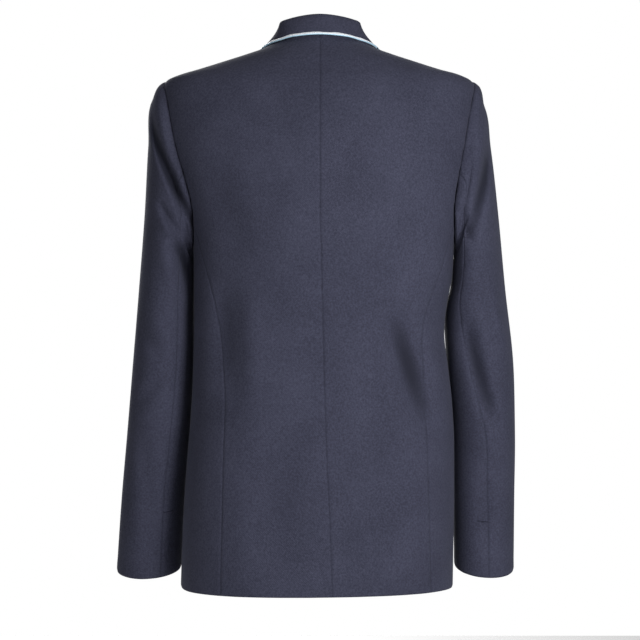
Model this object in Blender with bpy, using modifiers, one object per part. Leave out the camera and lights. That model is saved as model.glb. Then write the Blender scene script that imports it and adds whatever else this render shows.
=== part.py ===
"""School blazer, filled out as if worn, with nobody in it.

Metres, +Z up. The front faces -Y and the wearer's left is +X. The origin is between the
shoulders, at the height where the collar meets the shoulder seams, where a wearer holds it.
Every table below gives the outside of the cloth, and each wall lies within it.
"""

import math
from collections import namedtuple

import bmesh
import bpy
import numpy as np

# The cloth's wall, the gap left at a seam, and the heights where the cut changes.
WALL = 0.0018
SEAM_GAP = 0.0003
NECK_POINT = -0.003
SHOULDER_TIP = -0.0415
SEAM_JOIN = -0.215

# The fronts. Each crosses the centre by LAP, and the right one rises off the left one where
# they lie over each other: from LAP_START to LAP_END across, and over LAP_RISE below LAP_TOP.
LAP = 0.018
LAP_LIFT = 0.0056
LAP_START = 0.050
LAP_END = 0.022
LAP_TOP = -0.170
LAP_RISE = 0.070
BREAK_FOOT = -0.330
BREAK_TOP_X = 0.060

BUTTON_RADIUS = 0.010
BUTTON_THICKNESS = 0.0035
BUTTON_SIDES = 24
BUTTON_HEIGHTS = {"button_upper": -0.335, "button_lower": -0.430}
SEAT_POINTS = 5

Colour = namedtuple("Colour", "red green blue roughness")
NAVY = Colour(0.032, 0.037, 0.062, 0.85)
PALE_BLUE = Colour(0.55, 0.70, 0.85, 0.6)
DARK_BUTTON = Colour(0.012, 0.014, 0.022, 0.35)

# The body's sections, from the hem to the nape. Widths and depths run from the middle line,
# square is the power of the rounded section, and turn is its twist about the upright axis.
Section = namedtuple("Section", "height left right back front square turn")
BODY = (
    Section(-0.651, 0.168, 0.160, 0.117, 0.112, 2.4, 7.0),
    Section(-0.600, 0.1665, 0.161, 0.115, 0.110, 2.4, 6.3),
    Section(-0.540, 0.1635, 0.162, 0.1115, 0.108, 2.4, 5.3),
    Section(-0.480, 0.159, 0.162, 0.107, 0.105, 2.4, 4.0),
    Section(-0.430, 0.155, 0.1595, 0.102, 0.101, 2.4, 3.2),
    Section(-0.385, 0.1533, 0.1545, 0.0985, 0.098, 2.4, 2.6),
    Section(-0.345, 0.1525, 0.150, 0.097, 0.097, 2.4, 2.1),
    Section(-0.310, 0.1525, 0.1535, 0.0985, 0.099, 2.4, 1.6),
    Section(-0.275, 0.1525, 0.160, 0.1025, 0.102, 2.4, 1.1),
    Section(-0.240, 0.153, 0.162, 0.107, 0.105, 2.4, 0.6),
    Section(-0.200, 0.160, 0.168, 0.111, 0.106, 2.4, 0.0),
    Section(-0.160, 0.173, 0.177, 0.112, 0.103, 2.4, 0.0),
    Section(-0.120, 0.184, 0.184, 0.109, 0.097, 2.4, 0.0),
    Section(-0.085, 0.189, 0.188, 0.103, 0.089, 2.35, 0.0),
    Section(-0.060, 0.1905, 0.190, 0.096, 0.081, 2.3, 0.0),
    Section(-0.048, 0.1895, 0.1895, 0.0915, 0.076, 2.25, 0.0),
    Section(-0.0415, 0.185, 0.185, 0.0885, 0.073, 2.2, 0.0),
    Section(-0.035, 0.170, 0.169, 0.0845, 0.0695, 2.2, 0.0),
    Section(-0.030, 0.1525, 0.150, 0.082, 0.067, 2.2, 0.0),
    Section(-0.0205, 0.1215, 0.1195, 0.0765, 0.0625, 2.2, 0.0),
    Section(-0.0109, 0.0915, 0.0900, 0.0695, 0.058, 2.15, 0.0),
    Section(-0.003, 0.069, 0.069, 0.0635, 0.055, 2.1, 0.0),
    Section(0.004, 0.058, 0.058, 0.059, 0.052, 2.0, 0.0),
    Section(0.0205, 0.050, 0.050, 0.050, 0.047, 2.0, 0.0),
    Section(0.0400, 0.046, 0.046, 0.048, 0.045, 2.0, 0.0),
)

# Where the seams lie round the body, in degrees from the side line, plus to the back.
SeamPlace = namedtuple("SeamPlace", "height side_back underarm")
SEAMS = (
    SeamPlace(-0.651, 44.0, -26.0),
    SeamPlace(-0.520, 45.0, -26.0),
    SeamPlace(-0.430, 45.0, -26.0),
    SeamPlace(-0.390, 43.5, -26.0),
    SeamPlace(-0.351, 41.5, -26.0),
    SeamPlace(-0.313, 37.5, -25.5),
    SeamPlace(-0.275, 30.5, -24.5),
    SeamPlace(-0.240, 22.0, -23.0),
    SeamPlace(-0.215, 16.0, -21.0),
)

# The armhole, from its foot at the underarm up to the shoulder tip.
ArmholePlace = namedtuple("ArmholePlace", "height back front")
ARMHOLE = (
    ArmholePlace(-0.215, 16.0, -21.0),
    ArmholePlace(-0.200, 20.0, -24.0),
    ArmholePlace(-0.180, 22.5, -26.5),
    ArmholePlace(-0.158, 23.5, -27.5),
    ArmholePlace(-0.135, 23.0, -27.0),
    ArmholePlace(-0.112, 22.0, -25.5),
    ArmholePlace(-0.090, 20.5, -23.5),
    ArmholePlace(-0.070, 18.0, -20.5),
    ArmholePlace(-0.055, 14.0, -16.0),
    ArmholePlace(-0.0415, 0.0, 0.0),
)
UnderarmPlace = namedtuple("UnderarmPlace", "angle height")
UNDERARM = (
    UnderarmPlace(-21.0, -0.215),
    UnderarmPlace(-12.0, -0.235),
    UnderarmPlace(-1.0, -0.243),
    UnderarmPlace(8.0, -0.235),
    UnderarmPlace(16.0, -0.215),
)

# Rows of points up the body. Those of the armhole are also the columns of the sleeve.
LOWER_ROWS = (-0.651, -0.600, -0.545, -0.490, -0.440, -0.395, -0.355, -0.320, -0.285, -0.250)
ARMHOLE_ROWS = (-0.215, -0.200, -0.180, -0.158, -0.135, -0.112, -0.090, -0.070, -0.055, -0.0415)
SHOULDER_ROWS = (-0.036, -0.030, -0.0235, -0.0165, -0.009, -0.003)
NAPE_HEIGHT = 0.0145
NAPE_ROWS = 3
UNDERARM_COLUMNS = 4
BACK_COLUMNS = 9
FRONT_COLUMNS = 8

# The sleeves' rings. Each has an outermost and an innermost point, seen from behind, how far
# it reaches back and front, how much lower its back is, and its hindarm seam in degrees.
Ring = namedtuple("Ring", "along out_x out_z in_x in_z back front drop hind")
SLEEVES = {
    "left": (
        Ring(0.030, 0.2035, -0.0650, 0.1545, -0.2500, 0.054, -0.064, 0.000, 122),
        Ring(0.085, 0.2085, -0.1200, 0.1540, -0.2660, 0.051, -0.077, 0.000, 122),
        Ring(0.165, 0.2130, -0.2000, 0.1541, -0.2900, 0.048, -0.080, 0.000, 122),
        Ring(0.255, 0.2200, -0.2900, 0.1538, -0.3250, 0.044, -0.080, 0.000, 122),
        Ring(0.350, 0.2280, -0.3850, 0.1541, -0.3850, 0.037, -0.077, 0.002, 122),
        Ring(0.435, 0.2352, -0.4700, 0.1587, -0.4640, 0.030, -0.074, 0.003, 118),
        Ring(0.510, 0.2422, -0.5450, 0.1648, -0.5400, 0.020, -0.076, 0.004, 115),
        Ring(0.590, 0.2490, -0.6350, 0.1700, -0.6320, 0.010, -0.080, 0.009, 116),
    ),
    "right": (
        Ring(0.030, 0.2015, -0.0680, 0.1655, -0.2500, 0.058, -0.060, 0.000, 122),
        Ring(0.085, 0.2075, -0.1200, 0.1636, -0.2660, 0.057, -0.070, 0.000, 124),
        Ring(0.165, 0.2165, -0.2000, 0.1592, -0.2900, 0.048, -0.081, 0.000, 126),
        Ring(0.255, 0.2260, -0.2900, 0.1522, -0.3250, 0.034, -0.090, 0.000, 126),
        Ring(0.350, 0.2362, -0.3850, 0.1553, -0.3850, 0.030, -0.084, 0.002, 114),
        Ring(0.435, 0.2384, -0.4700, 0.1620, -0.4640, 0.022, -0.080, 0.003, 92),
        Ring(0.510, 0.2380, -0.5450, 0.1632, -0.5400, 0.013, -0.082, 0.004, 88),
        Ring(0.590, 0.2372, -0.6340, 0.1645, -0.6300, 0.010, -0.080, 0.009, 85),
    ),
}
FORE_SEAM = 225

# Rows of points down a sleeve, in metres from the armhole, and the columns of its two seams.
SLEEVE_ROWS = (
    0.0, 0.006, 0.016, 0.030, 0.048, 0.070, 0.094, 0.118, 0.142, 0.166,
    0.192, 0.222, 0.255, 0.290, 0.325, 0.362, 0.405, 0.450, 0.500, 0.548, 0.590,
)
HIND_COLUMN = 6
FORE_COLUMN = 15

# How the sleeve leaves the armhole: its fullness, how far it heads down and spreads out at
# once, and how much more it spreads under the arm. Its pieces stand apart in the tuck there.
HEAD_FULLNESS = 1.2
HEAD_FALL = 0.35
HEAD_SPREAD = 0.25
UNDERARM_SPREAD = 1.6
UNDERARM_FOLD = 0.20
UNDERARM_GAP = 0.0030

# The largest folds, as troughs seen from behind: where each starts, bends and ends.
Fold = namedtuple("Fold", "piece x0 z0 x1 z1 x2 z2 width depth")
FOLD_STEPS = 16
FOLD_TAPER = 0.5
FOLD_SIDES = 2.0
FOLDS = (
    Fold("left", 0.200, -0.095, 0.190, -0.150, 0.156, -0.208, 0.008, 0.006),
    Fold("left", 0.196, -0.195, 0.180, -0.218, 0.164, -0.262, 0.008, 0.005),
    Fold("right", 0.196, -0.105, 0.190, -0.165, 0.168, -0.222, 0.009, 0.005),
    Fold("right", 0.166, -0.385, 0.184, -0.415, 0.206, -0.455, 0.011, 0.004),
)

# The lapel's outer edge, on its own side of the centre front.
EdgePlace = namedtuple("EdgePlace", "height x")
LAPEL_EDGE = (
    EdgePlace(-0.326, -0.014),
    EdgePlace(-0.300, 0.008),
    EdgePlace(-0.260, 0.034),
    EdgePlace(-0.210, 0.060),
    EdgePlace(-0.160, 0.081),
    EdgePlace(-0.115, 0.098),
    EdgePlace(-0.085, 0.108),
)
LAPEL_FOOT = -0.326
LAPEL_POINT_HEIGHT = -0.085
GORGE_HEIGHT = -0.050
LAPEL_LIFT = 0.0004
LAPEL_EDGE_LIFT = 0.0009
LAPEL_ROWS = 12
LAPEL_COLUMNS = 6

# The collar's stations, from the centre back to its front end: its seam to the neck, the top
# of its fold and the fall's edge, each by its angle and height on the body and its lift off it.
Station = namedtuple(
    "Station",
    "seam_angle seam_height seam_lift fold_angle fold_height fold_lift"
    " edge_angle edge_height edge_lift",
)
COLLAR = (
    Station(90, 0.0160, 0.000, 90, 0.0316, 0.0030, 90, 0.0080, 0.0060),
    Station(62, 0.0125, 0.000, 62, 0.0298, 0.0020, 62, 0.0066, 0.0056),
    Station(38, 0.0050, 0.000, 38, 0.0260, 0.0004, 38, 0.0040, 0.0050),
    Station(14, -0.0005, 0.000, 12, 0.0205, 0.0000, 12, 0.0006, 0.0036),
    Station(-12, -0.0015, 0.000, -14, 0.0150, 0.0010, -13, -0.0034, 0.0040),
    Station(-28, -0.0010, 0.001, -38, 0.0056, 0.0030, -37, -0.0120, 0.0046),
    Station(-60, -0.0160, 0.003, -58, -0.0120, 0.0075, -56, -0.0270, 0.0050),
    Station(-76, -0.0490, 0.0035, -76, -0.0455, 0.0075, -66, -0.0580, 0.0050),
)
COLLAR_COLUMNS = 25
COLLAR_FOLD = 0.0028
PIPING_RADIUS = 0.0014
PIPING_GAP = 0.0012


def column(table, name):
    """One named column of a table."""
    return np.array([getattr(row, name) for row in table], float)


def curve(places, values, at):
    """A smooth curve through values at rising places, with no overshoot, read at other places."""
    steps = np.diff(places)
    rises = np.diff(values) / steps
    slopes = np.concatenate([rises[:1], np.zeros(len(rises) - 1), rises[-1:]])
    same = rises[:-1] * rises[1:] > 0
    slopes[1:-1][same] = 2 * rises[:-1][same] * rises[1:][same] / (rises[:-1] + rises[1:])[same]
    at = np.clip(at, places[0], places[-1])
    i = np.clip(np.searchsorted(places, at) - 1, 0, len(steps) - 1)
    t = (at - places[i]) / steps[i]
    ends = values[i] * (1 + 2 * t) * (1 - t) ** 2 + values[i + 1] * t * t * (3 - 2 * t)
    return ends + steps[i] * t * (1 - t) * (slopes[i] * (1 - t) - slopes[i + 1] * t)


def read(table, name, at, key="height"):
    return curve(column(table, key), column(table, name), at)


def unit(vectors):
    return vectors / np.linalg.norm(vectors, axis=-1, keepdims=True)


def body_skin(height, angle):
    """The body's outside, at a height and an angle round it: 0 at the wearer's left, 90 behind."""
    height, angle = np.broadcast_arrays(np.asarray(height, float), np.radians(angle))
    cosine, sine = np.cos(angle), np.sin(angle)
    power = 2 / read(BODY, "square", height)
    half = np.where(cosine > 0, read(BODY, "left", height), read(BODY, "right", height))
    depth = np.where(sine > 0, read(BODY, "back", height), read(BODY, "front", height))
    x = np.sign(cosine) * np.abs(cosine) ** power * half
    y = np.sign(sine) * np.abs(sine) ** power * depth
    turn = np.radians(read(BODY, "turn", height))
    across = x * np.cos(turn) - y * np.sin(turn)
    return np.stack([across, x * np.sin(turn) + y * np.cos(turn), height], axis=-1)


def body_out(height, angle, lift):
    """A point of the body's outside, moved straight out of the cloth, or in where lift is negative."""
    step_up, step_round = 0.0005, 0.5
    up = body_skin(height + step_up, angle) - body_skin(height - step_up, angle)
    way = body_skin(height, angle + step_round) - body_skin(height, angle - step_round)
    return body_skin(height, angle) + unit(np.cross(way, up)) * np.asarray(lift)[..., None]


def own_width(side, height, angle):
    """How far a point of the body lies from the middle towards its own side, before the twist."""
    cosine = np.cos(np.radians(own_angle(side, angle)))
    power = 2 / read(BODY, "square", height)
    half = np.where(cosine > 0, read(BODY, "left", height), read(BODY, "right", height))
    return np.sign(cosine) * np.abs(cosine) ** power * half * (1 if side == "left" else -1)


def front_angle(side, height, x):
    """The angle from a side's own side line at which the front lies at a width on that side."""
    across = x if side == "left" else -x
    half = np.where(across > 0, read(BODY, "left", height), read(BODY, "right", height))
    ratio = np.clip(np.abs(across) / half, 0, 1) ** (read(BODY, "square", height) / 2)
    angle = -np.degrees(np.arccos(np.sign(across) * ratio))
    return angle if side == "left" else -180 - angle


def own_angle(side, angle):
    """An angle measured from a side's own side line, as one measured from the wearer's left."""
    return angle if side == "left" else 180 - angle


def mix(first, last, share):
    return first + (last - first) * share


def trimmed(grid, side_gap=SEAM_GAP):
    """The grid with its edges drawn in by half a seam's gap, or by more at its sides."""
    grid = grid.copy()
    side_half = np.broadcast_to(side_gap, len(grid))[:, None] / 2
    grid[:, 0] += unit(grid[:, 1] - grid[:, 0]) * side_half
    grid[:, -1] += unit(grid[:, -2] - grid[:, -1]) * side_half
    grid[0] += unit(grid[1] - grid[0]) * SEAM_GAP / 2
    grid[-1] += unit(grid[-2] - grid[-1]) * SEAM_GAP / 2
    return grid


def material(name, colour):
    found = bpy.data.materials.get(name)
    if found:
        return found
    made = bpy.data.materials.new(name)
    made.use_nodes = True
    shader = made.node_tree.nodes["Principled BSDF"]
    shader.inputs["Base Color"].default_value = (colour.red, colour.green, colour.blue, 1)
    shader.inputs["Roughness"].default_value = colour.roughness
    shader.inputs["Metallic"].default_value = 0
    return made


def cloth(name, grid, facing):
    """A panel of cloth from the points of its inside: an open surface, thickened outwards.

    facing is a point well outside the panel's middle, which settles its outer side."""
    rows, columns = grid.shape[:2]
    mesh = bpy.data.meshes.new(name)
    faces = [
        (j * columns + i, j * columns + i + 1, (j + 1) * columns + i + 1, (j + 1) * columns + i)
        for j in range(rows - 1)
        for i in range(columns - 1)
    ]
    middle = grid[rows // 2, columns // 2]
    beside = grid[rows // 2, columns // 2 - 1] - middle
    below = grid[rows // 2 - 1, columns // 2] - middle
    if np.dot(np.cross(beside, below), np.asarray(facing) - middle) < 0:
        faces = [face[::-1] for face in faces]
    mesh.from_pydata(grid.reshape(-1, 3).tolist(), [], faces)
    mesh.materials.append(material("navy_cloth", NAVY))
    mesh.shade_smooth()
    panel = bpy.data.objects.new(name, mesh)
    garment.objects.link(panel)
    wall = panel.modifiers.new("wall", "SOLIDIFY")
    wall.thickness = WALL
    wall.offset = 1
    return panel


def back_grid(side):
    """A back, from the side-back seam, armhole and shoulder seam to the centre back."""
    nape = np.linspace(0, 1, NAPE_ROWS + 1)[1:]
    rows = []
    for height in LOWER_ROWS + ARMHOLE_ROWS + SHOULDER_ROWS:
        rows.append((height, back_edge(height), 0.0))
    rows += [(NECK_POINT, 0.0, share) for share in nape]
    across = np.linspace(0, 1, BACK_COLUMNS)
    angle = np.array([mix(edge, 90.0, across) for _, edge, _ in rows])
    rise = (NAPE_HEIGHT - NECK_POINT) * np.sin(np.radians(angle)) ** 2
    height = np.array([[row[0]] for row in rows]) + np.array([[row[2]] for row in rows]) * rise
    return body_out(height, own_angle(side, angle), -WALL)


def back_edge(height):
    if height < SEAM_JOIN:
        return float(read(SEAMS, "side_back", height))
    return float(read(ARMHOLE, "back", height)) if height < SHOULDER_TIP else 0.0


def front_edge(height):
    if height < SEAM_JOIN:
        return float(read(SEAMS, "underarm", height))
    return float(read(ARMHOLE, "front", height)) if height < SHOULDER_TIP else 0.0


def break_x(height):
    """How far the front's free edge, or the lapel's roll line, lies from the centre front."""
    share = np.clip((height - BREAK_FOOT) / (NECK_POINT - BREAK_FOOT), 0, 1)
    return mix(-LAP, BREAK_TOP_X, share)


def smooth(share):
    share = np.clip(share, 0, 1)
    return share * share * (3 - 2 * share)


def lap_lift(side, height, x):
    """How far the right front stands off the body where it lies over the left one."""
    if side == "left":
        return np.zeros_like(x)
    near = smooth((LAP_START - x) / (LAP_START - LAP_END))
    return LAP_LIFT * near * smooth((LAP_TOP - height) / LAP_RISE)


def front_point(side, height, angle, lift):
    """A point of a front, at a height and an angle from its own side line, lifted off it."""
    lift = lift + lap_lift(side, height, own_width(side, height, angle))
    return body_out(height, own_angle(side, angle), lift)


def front_grid(side):
    """A front, from the underarm seam, armhole and shoulder seam to its free edge."""
    across = np.linspace(0, 1, FRONT_COLUMNS)
    rows = []
    for height in LOWER_ROWS + ARMHOLE_ROWS + SHOULDER_ROWS:
        free = front_angle(side, height, break_x(height))
        angle = mix(front_edge(height), free, across)
        rows.append(front_point(side, np.full(FRONT_COLUMNS, height), angle, -WALL))
    return np.array(rows)


def lapel_grid(side):
    """A lapel, turned out over its front from the roll line to its shaped edge."""
    up = np.linspace(0, 1, LAPEL_ROWS)[:, None]
    out = np.linspace(0, 1, LAPEL_COLUMNS)[None, :]
    roll_height = mix(LAPEL_FOOT, GORGE_HEIGHT, up)
    edge_height = mix(LAPEL_FOOT, LAPEL_POINT_HEIGHT, up)
    height = mix(roll_height, edge_height, out)
    x = mix(break_x(roll_height), read(LAPEL_EDGE, "x", edge_height), out)
    lift = mix(LAPEL_LIFT, LAPEL_EDGE_LIFT, out) + 0 * up
    return front_point(side, height, front_angle(side, height, x), lift)


def side_grid(side):
    """A side body, whose top edge is the foot of the armhole."""
    across = np.linspace(0, 1, UNDERARM_COLUMNS + 1)
    height = np.array([np.full(len(across), row) for row in LOWER_ROWS] + [underarm()[1]])
    angle = np.array(
        [mix(front_edge(row), back_edge(row), across) for row in LOWER_ROWS] + [underarm()[0]]
    )
    return body_out(height, own_angle(side, angle), -WALL)


def underarm():
    """The angles and heights of the foot of the armhole, from the front to the back."""
    angle = np.linspace(UNDERARM[0].angle, UNDERARM[-1].angle, UNDERARM_COLUMNS + 1)
    return angle, read(UNDERARM, "height", angle, "angle")


def armhole_loop(side):
    """The armhole's points, from the shoulder tip down behind, under the arm and up in front."""
    heights = np.array(ARMHOLE_ROWS)
    back = body_skin(heights, own_angle(side, read(ARMHOLE, "back", heights)))
    front = body_skin(heights, own_angle(side, read(ARMHOLE, "front", heights)))
    angle, height = underarm()
    foot = body_skin(height, own_angle(side, angle))
    return np.concatenate([back[::-1], foot[::-1][1:-1], front])


def ring_points(ring, turn, outward):
    """Points round a sleeve's ring: 0 outermost, a quarter turn at the back."""
    cosine, sine = np.cos(turn), np.sin(turn)
    middle_y = (ring.back + ring.front) / 2
    x = mix(ring.in_x, ring.out_x, (1 + cosine) / 2)
    z = mix(ring.in_z, ring.out_z, (1 + cosine) / 2) - ring.drop * sine
    return np.stack([outward * x, middle_y + (ring.back - middle_y) * sine, z], axis=-1)


def sleeve_grid(side):
    """A whole sleeve: a row for each place along it, a column for each armhole point."""
    outward = 1 if side == "left" else -1
    loop = armhole_loop(side)
    closed = np.concatenate([loop, loop[:1]])
    run = np.concatenate([[0], np.cumsum(np.linalg.norm(np.diff(closed, axis=0), axis=1))])
    under = run[FORE_COLUMN] - run[HIND_COLUMN]
    rings = [loop]
    for ring in SLEEVES[side]:
        places = [0, run[HIND_COLUMN], run[FORE_COLUMN], run[-1]]
        top = mix(FORE_SEAM - 360, ring.hind, (run[-1] - run[FORE_COLUMN]) / (run[-1] - under))
        turn = np.interp(run[:-1], places, [top, ring.hind, FORE_SEAM, top + 360])
        rings.append(ring_points(ring, np.radians(turn), outward))
    rings = np.array(rings)
    along = np.concatenate([[0.0], column(SLEEVES[side], "along")])
    start = sleeve_start(loop, outward) * np.linalg.norm(rings[1] - loop, axis=1)[:, None]
    slopes = np.gradient(rings, along, axis=0)
    slopes[0] = start / along[1] * HEAD_FULLNESS
    grid = np.array([between(along, rings, slopes, place) for place in SLEEVE_ROWS])
    for fold in FOLDS:
        if fold.piece == side:
            grid = folded(grid, fold, outward)
    return grid - tube_normals(grid, outward) * WALL


def sleeve_start(loop, outward):
    """The way in which each column of the sleeve leaves the armhole."""
    spread = loop - loop.mean(axis=0)
    spread[:, 0] = 0
    spread = unit(spread)
    under = np.clip(-spread[:, 2:], 0, 1)
    away = np.array([outward, 0, -HEAD_FALL]) + spread * (HEAD_SPREAD + UNDERARM_SPREAD * under)
    return unit(away)


def between(along, rings, slopes, place):
    """Points of the smooth surface through the rings, at one place along them."""
    i = int(np.clip(np.searchsorted(along, place) - 1, 0, len(along) - 2))
    step = along[i + 1] - along[i]
    t = (place - along[i]) / step
    ends = rings[i] * (1 + 2 * t) * (1 - t) ** 2 + rings[i + 1] * t * t * (3 - 2 * t)
    return ends + step * t * (1 - t) * (slopes[i] * (1 - t) - slopes[i + 1] * t)


def tube_normals(grid, outward):
    """Outward directions over a closed tube of points."""
    along = np.gradient(grid, axis=0)
    around = np.roll(grid, -1, axis=1) - np.roll(grid, 1, axis=1)
    return unit(np.cross(along, around)) * outward


def folded(grid, fold, outward):
    """The tube with a soft trough pressed into its back along a bent line."""
    share = np.linspace(0, 1, FOLD_STEPS)[:, None]
    start, bend, end = (np.array(point) for point in
                        ((fold.x0, fold.z0), (fold.x1, fold.z1), (fold.x2, fold.z2)))
    line = start * (1 - share) ** 2 + 2 * bend * share * (1 - share) + end * share ** 2
    seen = np.stack([grid[..., 0] * outward, grid[..., 2]], axis=-1)
    away = np.linalg.norm(seen[..., None, :] - line, axis=-1)
    nearest = away.argmin(axis=-1)
    fade = np.sin(np.pi * (nearest + 0.5) / FOLD_STEPS) ** FOLD_TAPER
    depth = fold.depth * np.exp(-(away.min(axis=-1) / fold.width) ** 2) * fade
    normals = tube_normals(grid, outward)
    return grid - normals * (depth * np.clip(normals[..., 1] * FOLD_SIDES, 0, 1))[..., None]


def collar_grid():
    """The collar, from its neck seam up the stand, over the fold and down the fall."""
    places = np.arange(len(COLLAR), dtype=float)
    at = np.linspace(-places[-1], places[-1], COLLAR_COLUMNS)
    line = {}
    for name in ("seam", "fold", "edge"):
        angle, height, lift = (
            curve(places, column(COLLAR, f"{name}_{part}"), np.abs(at))
            for part in ("angle", "height", "lift")
        )
        line[name] = body_out(height, np.where(at > 0, angle, 180 - angle), lift)
    seam, fold, edge = line["seam"], line["fold"], line["edge"]
    out = unit(edge - seam)
    inner = fold - out * COLLAR_FOLD - unit(fold - seam) * COLLAR_FOLD
    outer = fold + out * COLLAR_FOLD - unit(fold - edge) * COLLAR_FOLD
    return np.array([
        seam, mix(seam, inner, 1 / 2), inner, mix(inner, fold, 3 / 5), fold,
        mix(outer, fold, 2 / 5), outer, mix(outer, edge, 1 / 3), mix(outer, edge, 2 / 3), edge,
    ])


def piping(edge, fall):
    """The round piping sewn along the fall's outer edge."""
    route = edge + unit(edge - fall) * (PIPING_RADIUS + PIPING_GAP)
    line = bpy.data.curves.new("collar_piping", "CURVE")
    line.dimensions = "3D"
    line.bevel_depth = PIPING_RADIUS
    line.bevel_resolution = 2
    line.use_fill_caps = True
    spline = line.splines.new("POLY")
    spline.points.add(len(route) - 1)
    for point, place in zip(spline.points, route):
        point.co = (*place, 1)
    line.materials.append(material("piping", PALE_BLUE))
    garment.objects.link(bpy.data.objects.new("collar_piping", line))


def button(name, height):
    """A round button sewn to the right front, over the lap."""
    shape = bmesh.new()
    bmesh.ops.create_cone(
        shape, cap_ends=True, segments=BUTTON_SIDES, radius1=BUTTON_RADIUS,
        radius2=BUTTON_RADIUS, depth=BUTTON_THICKNESS,
    )
    mesh = bpy.data.meshes.new(name)
    shape.to_mesh(mesh)
    shape.free()
    mesh.materials.append(material("button", DARK_BUTTON))
    disc = bpy.data.objects.new(name, mesh)
    garment.objects.link(disc)
    middle = front_point("right", height, front_angle("right", height, 0.0), 0.0)
    reach = np.linspace(-BUTTON_RADIUS, BUTTON_RADIUS, SEAT_POINTS)
    up, across = height + reach[:, None], reach[None, :] + 0 * reach[:, None]
    seat = front_point("right", up, front_angle("right", up, across), 0.0)[..., 1].min()
    disc.location = (middle[0], seat - SEAM_GAP - BUTTON_THICKNESS / 2, height)
    disc.rotation_euler = (math.radians(90), 0, 0)
    rim = disc.modifiers.new("rim", "BEVEL")
    rim.width = BUTTON_THICKNESS / 4
    rim.segments = 2


for leftover in list(bpy.data.objects):
    bpy.data.objects.remove(leftover)
garment = bpy.data.collections.new("school_blazer")
bpy.context.scene.collection.children.link(garment)

for side, outward in (("left", 1), ("right", -1)):
    cloth(f"back_{side}", trimmed(back_grid(side)), (0, 1, -0.3))
    cloth(f"side_{side}", trimmed(side_grid(side)), (outward, 0, -0.4))
    cloth(f"front_{side}", trimmed(front_grid(side)), (0, -1, -0.3))
    cloth(f"lapel_{side}", lapel_grid(side), (0, -1, -0.2))
    sleeve = sleeve_grid(side)
    under = sleeve[:, HIND_COLUMN:FORE_COLUMN + 1]
    top = np.concatenate([sleeve[:, FORE_COLUMN:], sleeve[:, :HIND_COLUMN + 1]], axis=1)
    tucked = np.where(np.array(SLEEVE_ROWS) < UNDERARM_FOLD, UNDERARM_GAP, SEAM_GAP)
    cloth(f"under_sleeve_{side}", trimmed(under, tucked), (0, 0, -0.4))
    cloth(f"top_sleeve_{side}", trimmed(top, tucked), (outward, 0, -0.3))
collar = collar_grid()
cloth("collar", collar, (0, 0, 0.2))
piping(collar[-1], collar[-2])
for name, height in BUTTON_HEIGHTS.items():
    button(name, height)
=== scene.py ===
"""A navy school blazer with a piped collar, filled out as if worn, seen from behind."""
import math
from collections import namedtuple

import bmesh
import bpy
import numpy as np
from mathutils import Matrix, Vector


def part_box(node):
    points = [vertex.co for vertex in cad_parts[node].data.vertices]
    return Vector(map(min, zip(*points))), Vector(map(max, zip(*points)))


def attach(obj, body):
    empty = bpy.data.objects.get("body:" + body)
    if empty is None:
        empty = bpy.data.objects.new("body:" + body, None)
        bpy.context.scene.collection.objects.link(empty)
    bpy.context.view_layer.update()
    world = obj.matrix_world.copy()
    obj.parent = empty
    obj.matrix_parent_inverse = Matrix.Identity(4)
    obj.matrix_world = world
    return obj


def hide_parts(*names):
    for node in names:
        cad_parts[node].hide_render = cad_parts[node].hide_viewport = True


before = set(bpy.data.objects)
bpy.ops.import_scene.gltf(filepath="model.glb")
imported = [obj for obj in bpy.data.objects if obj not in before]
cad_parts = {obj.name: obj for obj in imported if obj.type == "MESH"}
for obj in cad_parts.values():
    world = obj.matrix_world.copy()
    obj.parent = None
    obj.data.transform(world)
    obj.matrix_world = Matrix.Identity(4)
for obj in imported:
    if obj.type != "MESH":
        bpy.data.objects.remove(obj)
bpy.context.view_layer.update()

# The camera stands behind the blazer, level with the middle of its back, and looks straight
# at it through a moderate lens, as a catalogue photographer would.
CAMERA_AWAY = 2.6
CAMERA_HEIGHT = -0.330
VIEW_WIDTH = 0.7744
SENSOR = 36.0

lens = bpy.data.cameras.new("catalogue_camera")
lens.sensor_width = SENSOR
lens.lens = SENSOR * CAMERA_AWAY / VIEW_WIDTH
camera = bpy.data.objects.new("catalogue_camera", lens)
camera.location = (0, CAMERA_AWAY, CAMERA_HEIGHT)
camera.rotation_euler = (math.radians(90), 0, math.radians(180))
bpy.context.scene.collection.objects.link(camera)
bpy.context.scene.camera = camera

# The studio: white paper all round and a pale floor well below the garment. A small light
# close by on the wearer's right rakes across the cloth. Large soft ones fill in from the left
# and from above, and one stands in front for the garment's other side.
FLOOR_HEIGHT = -1.05
FLOOR_REACH = 2.3
FLOOR_PALE = (0.90, 0.90, 0.90, 1)
PAPER_WHITE = 1.0
ROOM_LIGHT = 0.14

world = bpy.data.worlds.new("studio")
world.use_nodes = True
nodes, links = world.node_tree.nodes, world.node_tree.links
paper, room = nodes["Background"], nodes.new("ShaderNodeBackground")
seen, either = nodes.new("ShaderNodeLightPath"), nodes.new("ShaderNodeMixShader")
for backdrop, strength, socket in ((room, ROOM_LIGHT, 1), (paper, PAPER_WHITE, 2)):
    backdrop.inputs["Color"].default_value = (1, 1, 1, 1)
    backdrop.inputs["Strength"].default_value = strength
    links.new(backdrop.outputs["Background"], either.inputs[socket])
links.new(seen.outputs["Is Camera Ray"], either.inputs["Fac"])
links.new(either.outputs["Shader"], nodes["World Output"].inputs["Surface"])
bpy.context.scene.world = world
bpy.context.scene.view_settings.view_transform = "Standard"

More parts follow.
